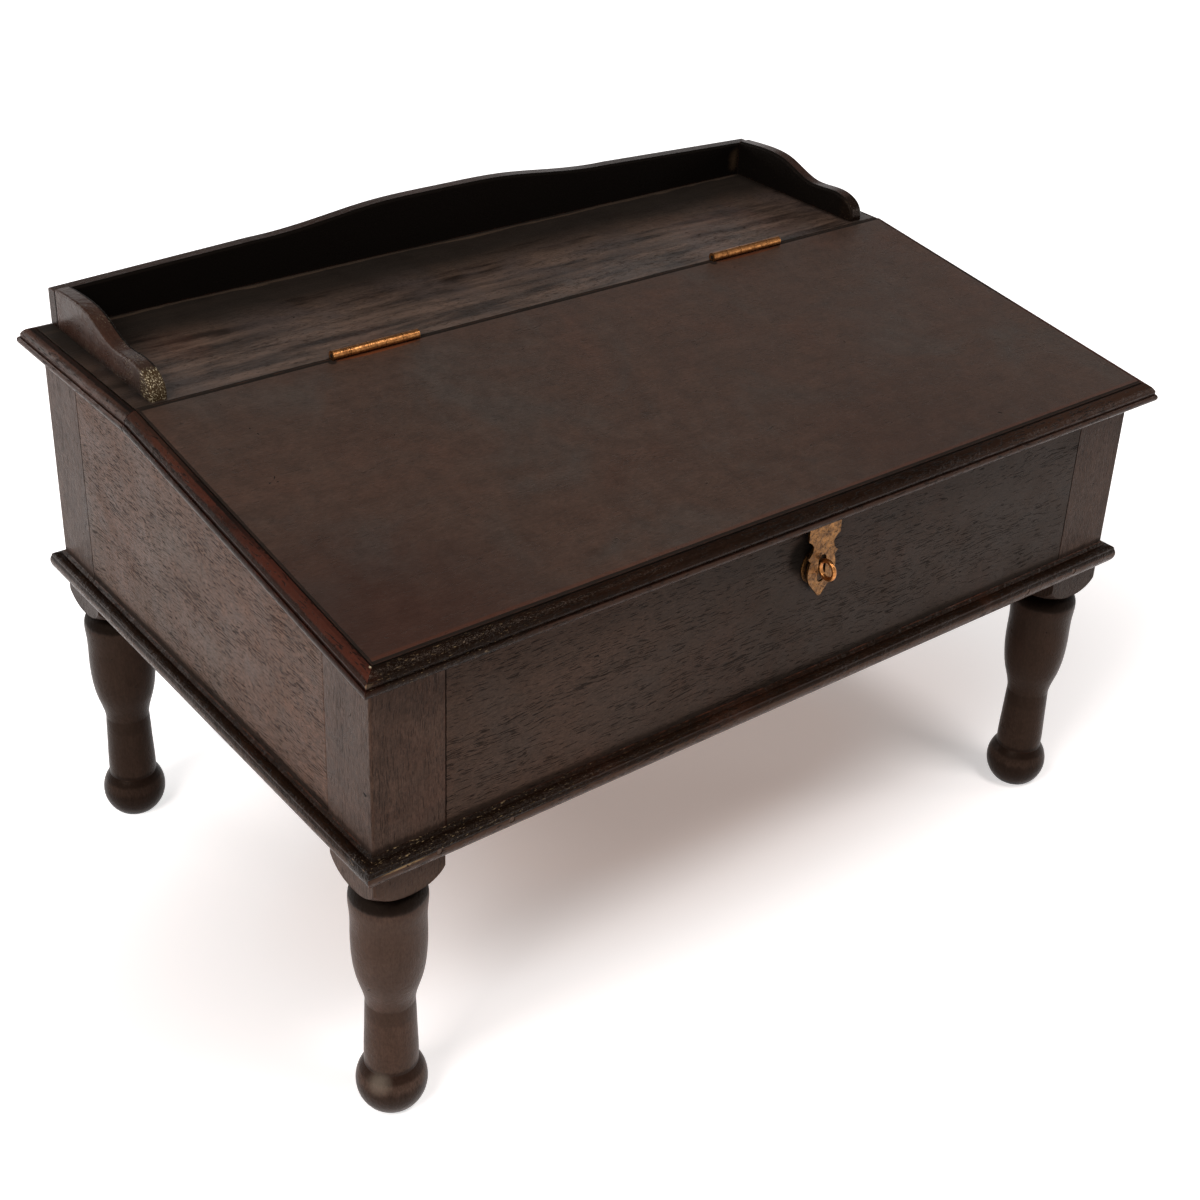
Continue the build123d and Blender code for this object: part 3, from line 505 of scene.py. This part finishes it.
# The side boards' lighter colour is partly tone and partly a painted sheen
dress(["side_board_left", "side_board_right"], stained_wood(
    "stained teak, side boards", turn=along_y, deep="#432f25", middle="#5a4337", cool="#4f4037",
    worn="#64402f", pores=0.75, open_grain=0.03, pore_length=7.0, pore_width=0.6, nap=0.5,
    mottle=0.2, gloss=0.42, shine=0.1,
    # Dirt and painted shade above the base moulding
    marks=[("Z", 190, moulding_top + 3, 5, 0.85, 2, soot_and_painted_shade)]))
dress(["bottom_board"], stained_wood(
    "unstained teak, bottom board, planed", turn=along_x, deep="#5c4231", middle="#7d5e47",
    cool="#6b5747", worn="#84573a", gloss=0.6, shine=0.15))

# %% [markdown]
# ## Posts and legs
# Each leg is turned on the lower end of its corner post, so one stick carries
# both. The lathe and the sanding filled the pores of the turned stretch, and dirt
# stayed in its hollows; the dark rings there are dirt and painted shade, the paler
# swells tone and a painted sheen. The near post is the lightest, with a painted
# highlight on its foot. The other three get one more dark mark, over their whole
# length below the case: painted shade, and partly a darker stain.

# %% Finish the posts
turned_post = dict(
    turn=upright, calm=("Z", -10, 166, 6), deep="#392a22", middle="#4e3b32", cool="#43352e",
    pores=0.5, open_grain=0.02, pore_length=9.0, pore_width=0.6, cracks=0.4, nap=0.35, gloss=0.34,
    lumps=0.25, mottle=0.24, glints=[("Z", 158, 168, 2)])
post_marks = [
    # The foot of the square stretch is rubbed pale, and the groove below is black with dirt and
    # painted shade
    ("Z", 168, 188, 5, 0.4, 3, "#523e33"),
    ("Z", 159, 168, 3.5, 0.95, 1.5, soot_and_painted_shade),
    # Dirt and painted shade above the base moulding
    ("Z", 190, moulding_top + 2, 3, 0.6, 2, soot_and_painted_shade),
    # The turned leg: paler swells, tone and painted sheen, and darker rings in its hollows, dirt
    # and painted shade
    ("Z", 70, 78, 3, 0.45, 2, "#1c120d"),
    ("Z", 30, 88, 12, 0.3, 4, "#503c31"),
    ("Z", 95, 152, 10, 0.35, 6, "#523f35"),
    ("Z", 27, 32, 2.5, 0.75, 1.5, "#1d0f09"),
    ("Z", 9, 18, 4, 0.55, 2, "#1a100b")]
# A painted highlight on the top of the near foot
painted_foot_highlight = ((-291.6, -179.7, 26), -1, 1, 9, 0.28, 2, "#a39484")
# Painted shade, partly a darker stain, on the three posts away from the light
darker_leg = ("Z", -far, 188, 8, 0.54, 3, "#16100c")
dress(["post_front_left"], stained_wood(
    "stained teak, near post and leg", **turned_post, shine=0.07, marks=[*post_marks, painted_foot_highlight]))
dress(["post_front_right", "post_rear_left", "post_rear_right"], stained_wood(
    "stained teak, other posts and legs, darker", **turned_post, shine=0.05,
    marks=[*post_marks, darker_leg]))

# %% [markdown]
# ## Strips and base mouldings
# The strips are nearly black and glossier than the boards, and lumpy, because
# varnish gathers in a moulding. The lid's near left corner has been knocked and is
# rubbed red, and painted glints show as small pale spots on both strips that meet
# there. A spot is a band round a point, which needs no extra geometry. The flat
# tops of the sloping side strips are rubbed red.

# %% Finish the strips
# Colours of the painted glints
painted_glint, painted_golden_glint = "#d0bd9c", "#b89a78"
dress(["lid_edge_front"], stained_wood(
    "stained teak, front lid strip, varnish in lumps", turn=along_x, deep="#0e0704",
    middle="#26160e", cool="#1a100b", gloss=0.24, shine=0.07, edge=0.4, lumps=0.4, flecks_and_glints=0.36,
    fleck_and_glint_shade="#8c7456", glints=[("X", -312, -240, 60)], marks=[
        # Browner to the right, soot in the groove at the lid, and a pale lower edge
        ("X", 230, far, 140, 0.6, 5, "#3c2920"),
        ("Y", -200.0, -197, 0.6, 0.9, 0.5, soot_and_painted_shade),
        ("Z", -far, 323.4, 0.6, 0.8, 0.6, "#3f2d25"),
        # The knocked corner, rubbed red, with two painted glints
        ((-309, -205, 326), -6, 6, 5, 0.5, 2, "#55291b"),
        ((-300.0, -198.3, 331.6, 2.2, 1, 1), -0.6, 0.6, 0.8, 0.8, 0.3, painted_glint),
        ((-308.5, -206.5, 326.5, 1.6, 1, 1), -0.7, 0.7, 1.2, 0.6, 0.4, painted_golden_glint)]))
dress(["base_moulding_front", "base_moulding_back"], stained_wood(
    "stained teak, base mouldings along X, varnish in lumps", turn=along_x, deep="#0e0704",
    middle="#25160e", cool="#1a100a", gloss=0.24, shine=0.07, edge=0.6, lumps=0.6, flecks_and_glints=0.4,
    fleck_and_glint_shade="#a88d68", glints=[("X", -312, -270, 230)], bead=("Z", 200, far, 0.8), marks=[
        # The lower lip is paler, and a painted highlight runs along the ridge near the left corner
        ("Z", -far, 198.5, 1.2, 0.85, 1.0, "#4a3428"),
        ((-285, -200.5, 198.8, 20, 1, 1), -0.4, 0.4, 0.6, 0.5, 0.4, "#b3946a")]))
dress(["base_moulding_left", "base_moulding_right"], stained_wood(
    "stained teak, base mouldings along Y, varnish in lumps", turn=along_y, deep="#100804",
    middle="#26170f", cool="#1b110c", gloss=0.26, shine=0.06, edge=0.6, lumps=0.5, flecks_and_glints=0.5,
    glints=[("Y", -202, -185, 10)], marks=[("Z", -far, 198.5, 1.2, 0.85, 1.0, "#4a372c")]))
shelf_moulding = dict(
    deep="#1c110c", middle="#432a1f", cool="#32221a", streaks=1.2, gloss=0.36, shine=0.08,
    edge=0.7, lumps=0.35, flecks_and_glints=0.3)
dress(["shelf_edge_rear"], stained_wood(
    "stained teak, shelf moulding at the rear, dark", turn=along_x, **shelf_moulding))
dress(["shelf_edge_left", "shelf_edge_right"], stained_wood(
    "stained teak, shelf mouldings at the sides, dark", turn=along_y, **shelf_moulding,
    marks=both_sides(301, 305, 0.8, 0.85, 0.6, soot_and_painted_shade)))
dress(["lid_edge_left", "lid_edge_right"], stained_wood(
    "stained teak, sloping side strips, rubbed red", turn=along_y, deep="#1f110c",
    middle="#3a2019", cool="#291b16", worn="#55291d", warmth=0.5, gloss=0.34, shine=0.12,
    edge=0.8, lumps=0.3, flecks_and_glints=0.4, marks=[
        # Soot in the groove, a darker rear and a redder front
        *both_sides(301, 304.3, 0.6, 0.95, 0.6, soot_and_painted_shade),
        ("Y", 20, far, 60, 0.5, 8, "#3a241b"),
        ("Y", -190, -110, 60, 0.35, 6, "#57291d"),
        # The outer face: black on the left strip, and on the right one a rubbed rim with a painted
        # highlight
        ("X", -320, -308.6, 0.8, 0.8, 0.8, "#120a07"),
        ("X", 305.5, far, 1.5, 0.5, 1, "#6a4237"),
        # Painted glints at the knocked corner
        ((-302.5, -199.3, 331.6), -0.5, 0.5, 0.8, 0.75, 0.3, painted_glint),
        ((-310, -206.5, 326.5), -0.7, 0.7, 1.2, 0.6, 0.4, painted_golden_glint)]))

# %% [markdown]
# ## Gallery and pegs
# The gallery is smooth, with closed pores. Its inner faces stayed black, because
# no cloth got there. The tips of the side pieces are where a hand holds the box,
# and varnish stands on them; pale flecks on the left one are scuffs and painted
# glints, and the right one has a painted highlight at its tip. The pegs in the
# base moulding show their ends, a little lighter than the strip round them.

# %% Finish the gallery and the pegs
inner_side, inner_back = 281.2, 192.0  # the inner faces of the gallery
dress(["gallery_back"], stained_wood(
    "stained teak, gallery back", turn=along_x, deep="#221610", middle="#36261f", cool="#2b221e",
    pores=0.15, cracks=0.1, nap=0.12, gloss=0.3, shine=0.05, edge=0.8, ripple=0.1, lumps=0.15,
    marks=[("Y", -far, inner_back, 0.8, 1.0, 0.3, soot_and_painted_shade),
           ((281, 189, 380), -5, 5, 9, 0.3, 4, "#5a4532")]))  # a rubbed right end
gallery_side = dict(
    turn=along_y, deep="#281812", middle="#3e2a22", cool="#31251f", pores=0.15, cracks=0.1,
    shine=0.1, edge=0.8, glints=[("Y", 50, 70, 6)])
dress(["gallery_left"], stained_wood(
    "stained teak, gallery left side", **gallery_side, nap=0.12, gloss=0.32, lumps=0.6,
    pool_shade="#40311f", flecks_and_glints=0.8, fleck_and_glint_shade="#c3b292", fleck_start=0.57,
    marks=[("X", -inner_side, far, 0.8, 1.0, 0.3, soot_and_painted_shade),
           ("Y", 55, 66, 5, 0.8, 2, "#150d09")]))  # a dark tip
dress(["gallery_right"], stained_wood(
    "stained teak, gallery right side", **gallery_side, nap=0.1, gloss=0.26, lumps=0.15,
    flecks_and_glints=0.15,
    marks=[("X", -far, inner_side, 0.8, 1.0, 0.3, soot_and_painted_shade),
           ((281, 65, 386), -2, 2, 3, 0.5, 0.5, "#b3a28e")]))  # a painted highlight at the tip
dress(["moulding_pegs"], stained_wood(
    "dark hardwood pegs, end grain", turn=upright, deep="#3d2b20", middle="#5a4335", gloss=0.4))

# %% [markdown]
# ## Brass that has been left alone
# The hinges and the hasp are cast and rolled brass. Nobody polished them, so a
# brown film covers the metal and turns black in corners, while the raised faces
# and edges that hands touch stay golden. Under the brown film the metal is still
# a mirror, only a blurred one, so the metallic value stays at one and the film is
# drawn with colour and roughness.

# %% Aged metal
metal_edge, metal_dirt_reach = 0.5, 3  # mm
blot_size, grit_size = 4, 1.1  # mm, of the film and of what a casting's sand left


def aged_metal(name, bright, film, dark, gloss=0.34, grit=0.06, specks=0.35):
    material, tree = new_finish(name)
    place = add(tree, "TexCoord").outputs["Object"]
    blotch = add(tree, "TexNoise", {
        "Vector": place, "Scale": 1 / (blot_size * mm), "Detail": 6.0, "Roughness": 0.7,
        "Distortion": 0.8})
    rubbed = add(tree, "MapRange", {"Value": blotch, "From Min": 0.36, "From Max": 0.66})
    skin = add(tree, "Mix", {"Factor": rubbed, "A": colour(film), "B": colour(bright)},
               data_type="RGBA")

    # Dirt sits where surfaces meet and in small specks; open edges are rubbed bright
    hollow = add(tree, "AmbientOcclusion", {"Distance": metal_dirt_reach * mm}, samples=8)
    dirt_mask = add(tree, "MapRange", {
        "Value": hollow.outputs["AO"], "From Min": 0.85, "From Max": 0.35, "To Max": 0.9})
    grit_noise = add(tree, "TexNoise", {
        "Vector": place, "Scale": 1 / (grit_size * mm), "Detail": 3.0})
    spots = add(tree, "MapRange", {
        "Value": grit_noise, "From Min": 0.58, "From Max": 0.68, "To Max": specks})
    grime = add(tree, "Math", {0: dirt_mask, 1: spots}, operation="MAXIMUM")
    skin = add(tree, "Mix", {"Factor": grime, "A": skin, "B": colour(dark)}, data_type="RGBA")
    meet = turning(tree, metal_edge)
    open_edge = add(tree, "MapRange", {
        "Value": meet, "From Min": 0.985, "From Max": 0.88, "To Max": 0.5})
    skin = add(tree, "Mix", {"Factor": open_edge, "A": skin, "B": colour(bright)},
               data_type="RGBA")

    sheen = add(tree, "MapRange", {
        "Value": blotch, "From Min": 0.3, "From Max": 0.7,
        "To Min": gloss + 0.12, "To Max": gloss - 0.04})
    rough = add(tree, "Math", {0: grime, 1: 0.25, 2: sheen}, operation="MULTIPLY_ADD")
    relief = add(tree, "Bump", {"Height": grit_noise, "Strength": 1.0, "Distance": grit * mm})
    shader = add(tree, "BsdfPrincipled", {
        "Base Color": skin, "Metallic": 1.0, "Roughness": rough, "Normal": relief})
    add(tree, "OutputMaterial", {"Surface": shader})
    return material


print("film in blots of", blot_size, "mm, grit of", grit_size, "mm")

# %% [markdown]
# The hasp is the darkest brass, since it is cast and rough. The rolled hinges and
# the staple's eye are handled more and shine. Screws keep dirt in their slots,
# and the pins are drawn steel that has gone brown.

# %% Finish the brass and the pins
dress(["hasp_leaf", "hasp_strap", "staple_plate"], aged_metal(
    "aged cast brass, unpolished", "#855d34", "#4c341f", "#160d07", gloss=0.36, grit=0.35,
    specks=0.7))
dress(["hinge_left_shelf_leaf", "hinge_right_shelf_leaf", "hinge_left_lid_leaf",
       "hinge_right_lid_leaf", "staple_eye"], aged_metal(
    "rolled brass hinges, handled", "#c98a52", "#80502c", "#160d07", gloss=0.32, grit=0.15,
    specks=0.6))
dress(["hinge_screws_shelf", "hinge_screws_lid", "hasp_screws"], aged_metal(
    "brass countersunk screws, dirty slots", "#8f6d47", "#5c432b", "#160e08"))
dress(["hinge_pins", "hasp_pin"], aged_metal(
    "drawn steel pins, browned", "#4a4038", "#2a231d", "#0c0907", gloss=0.5))
print("dressed", len(dressed), "of", len(parts))

# %% [markdown]
# ## Softened edges
# A real board has no knife edge. A narrow live Bevel modifier catches the light
# along each arris. It is kept at half a millimetre, so no gap opens and no size
# changes. The solids are loose triangles, so a Weld modifier comes first: without
# it no two faces share an edge that could be bevelled.

# %% Bevel the flat pieces
weld_reach = 0.01  # mm


def soften(piece, width, angle):
    weld = piece.modifiers.new("weld corners", "WELD")
    weld.merge_threshold = weld_reach * mm
    bevel = piece.modifiers.new("soft arris", "BEVEL")
    bevel.width = width * mm
    bevel.segments = 2
    bevel.limit_method = "ANGLE"
    bevel.angle_limit = math.radians(angle)


flat_pieces = ("lid_board", "shelf_board", "front_board", "back_board", "side_board_left",
               "side_board_right")
for name in flat_pieces:
    soften(parts[name], width=0.5, angle=32)
lid_size = [round(side / mm) for side in parts["lid_board"].dimensions]
print("softened", len(flat_pieces), "boards; the lid board is", lid_size, "mm")

# %% [markdown]
# ## Floor, light and camera
# The box stands on a white sheet. Only camera, glossy and transmission rays see
# it brightened: an emission is added there, full further away, so that the sheet
# fades into a white background, and weak in an oval round the box. Besides keeping
# the real soft shadow, that oval paints the shadow's shape and depth: a painted
# shadow. Right under the box the emission is a little warm: painted bounce light
# from the brown wood.

# %% Floor
sheet_side = 30.0  # metres, so that its edge is never seen
oval_centre, oval_stretch = (0.06, -0.03, 0.0), (2.5, 1.0, 1.0)
oval_inner, oval_outer, inner_glow = 0.09, 0.34, 0.285
warm_inner, warm_outer = 0.06, 0.14
bpy.ops.object.select_all(action="DESELECT")
bpy.ops.mesh.primitive_plane_add(size=sheet_side, location=(0, 0, 0))
floor = bpy.context.object
floor.name = "floor"
paper, tree = new_finish("matt white paper sheet")
place = add(tree, "TexCoord").outputs["Object"]
oval = add(tree, "VectorMath", {0: place, 1: oval_centre}, operation="SUBTRACT")
oval = add(tree, "VectorMath", {0: oval, 1: oval_stretch}, operation="DIVIDE")
distance = add(tree, "VectorMath", {0: oval}, operation="LENGTH")
# Weak inside the oval: a painted shadow over the real one
lift = add(tree, "MapRange", {
    "Value": distance, "From Min": oval_inner, "From Max": oval_outer, "To Min": inner_glow},
    interpolation_type="SMOOTHSTEP")
ray = add(tree, "LightPath").outputs
seen = add(tree, "Math", {0: ray["Is Camera Ray"], 1: ray["Is Glossy Ray"]}, operation="MAXIMUM")
seen = add(tree, "Math", {0: seen, 1: ray["Is Transmission Ray"]}, operation="MAXIMUM")
share = add(tree, "Math", {0: lift, 1: seen}, operation="MULTIPLY")
matt = add(tree, "BsdfDiffuse", {"Color": colour("#f4ebe8")})
# Painted bounce light: a warm tint right under the box
painted_bounce = add(tree, "MapRange", {
    "Value": distance, "From Min": warm_inner, "From Max": warm_outer})
tint = add(tree, "Mix", {"Factor": painted_bounce, "A": colour("#f3ded4"), "B": colour("#ffffff")},
           data_type="RGBA")
glow = add(tree, "Emission", {"Color": tint, "Strength": share})
both = add(tree, "AddShader", {0: matt, 1: glow})
add(tree, "OutputMaterial", {"Surface": both})
floor.data.materials.append(paper)
print("floor", floor.dimensions[:])

# %% [markdown]
# The room above the sheet is dim, so dark wood isn't veiled with grey. Low down,
# a white backdrop stands all round: the camera sees it, and so does gloss. Its
# height is written as the upward part of a direction, from 0 level to 1 straight up.

# %% World
room_level, backdrop_level = 0.16, 1.0
backdrop_top, room_start = 0.2, 0.45
world = bpy.data.worlds.new("white backdrop in a dim room")
world.use_nodes = True
bpy.context.scene.world = world
tree = world.node_tree
tree.nodes.clear()
towards = add(tree, "TexCoord").outputs["Generated"]
upward_part = add(tree, "SeparateXYZ", {"Vector": towards}).outputs["Z"]
room = add(tree, "MapRange", {
    "Value": upward_part, "From Min": backdrop_top, "From Max": room_start,
    "To Min": backdrop_level, "To Max": room_level})
ray = add(tree, "LightPath").outputs
shiny = add(tree, "Math", {0: ray["Is Glossy Ray"], 1: ray["Is Transmission Ray"]},
            operation="MAXIMUM")
level = add(tree, "Mix", {"Factor": shiny, "A": room_level, "B": room}, data_type="FLOAT")
level = add(tree, "Mix", {"Factor": ray["Is Camera Ray"], "A": level, "B": backdrop_level},
            data_type="FLOAT")
air = add(tree, "Background", {"Color": colour("#ffffff"), "Strength": level})
add(tree, "OutputWorld", {"Surface": air})
print("dim room", room_level, "backdrop", backdrop_level)

# %% [markdown]
# Four softboxes light the box. The largest stands at the left and gives the lid
# its soft sheen, one high at the right fills the front, and two small ones keep
# the right side and the back from going black.

# %% Lamps
lamp_target = (0.0, 0.0, 0.25)


def softbox(name, place, size, power):
    bpy.ops.object.select_all(action="DESELECT")
    bpy.ops.object.light_add(type="AREA", location=place)
    lamp = bpy.context.object
    lamp.name = name
    lamp.data.shape = "RECTANGLE"
    lamp.data.size, lamp.data.size_y = size
    lamp.data.energy = power
    aim = Vector(lamp_target) - Vector(place)
    lamp.rotation_euler = aim.to_track_quat("-Z", "Y").to_euler()


softbox("softbox left", (-1.9, -0.6, 1.9), (1.1, 1.1), 42)
softbox("softbox high at the right", (0.6, -1.25, 2.4), (0.7, 0.6), 24)
softbox("small softbox right", (2.0, -1.1, 0.8), (0.5, 0.5), 4)
softbox("small softbox behind", (-1.3, 2.1, 0.7), (0.8, 0.6), 7)

# %% [markdown]
# ## Camera
# The camera stands to the left of the front and looks down at the writing slope.
# It leans over by a couple of degrees, as a hand-held view does. Its axes are
# built from three angles: round, up and lean. A square frame of 1200 pixels is
# assumed, and the focal length and the shift are written in those pixels.

# %% Camera
focal_px, shift_px, frame_px, sensor = 1884.56, -100, 1200, 36.0
around, up_angle, lean = (math.radians(a) for a in (-38.962, 28.602, 2.495))
stand = Vector((-705.874, -872.725, 855.524)) * mm
away = Vector((
    math.sin(around) * math.cos(up_angle),
    -math.cos(around) * math.cos(up_angle),
    math.sin(up_angle)))
level_right = (-away).cross(Vector((0, 0, 1))).normalized()
level_up = level_right.cross(-away)
right = math.cos(lean) * level_right + math.sin(lean) * level_up
upward = -math.sin(lean) * level_right + math.cos(lean) * level_up
bpy.ops.object.camera_add()
camera = bpy.context.object
camera.name = "camera"
pose = Matrix((right, upward, away)).transposed().to_4x4()
pose.translation = stand
camera.matrix_world = pose
camera.data.sensor_width = sensor
camera.data.lens = focal_px * sensor / frame_px
camera.data.shift_y = shift_px / frame_px
camera.data.clip_start, camera.data.clip_end = 0.05, 2 * sheet_side
bpy.context.scene.camera = camera
print("lens", round(camera.data.lens, 2), "mm")

# %% [markdown]
# ## Colour management
# The Standard view shows each colour as written.

# %% View settings
bpy.context.scene.view_settings.view_transform = "Standard"
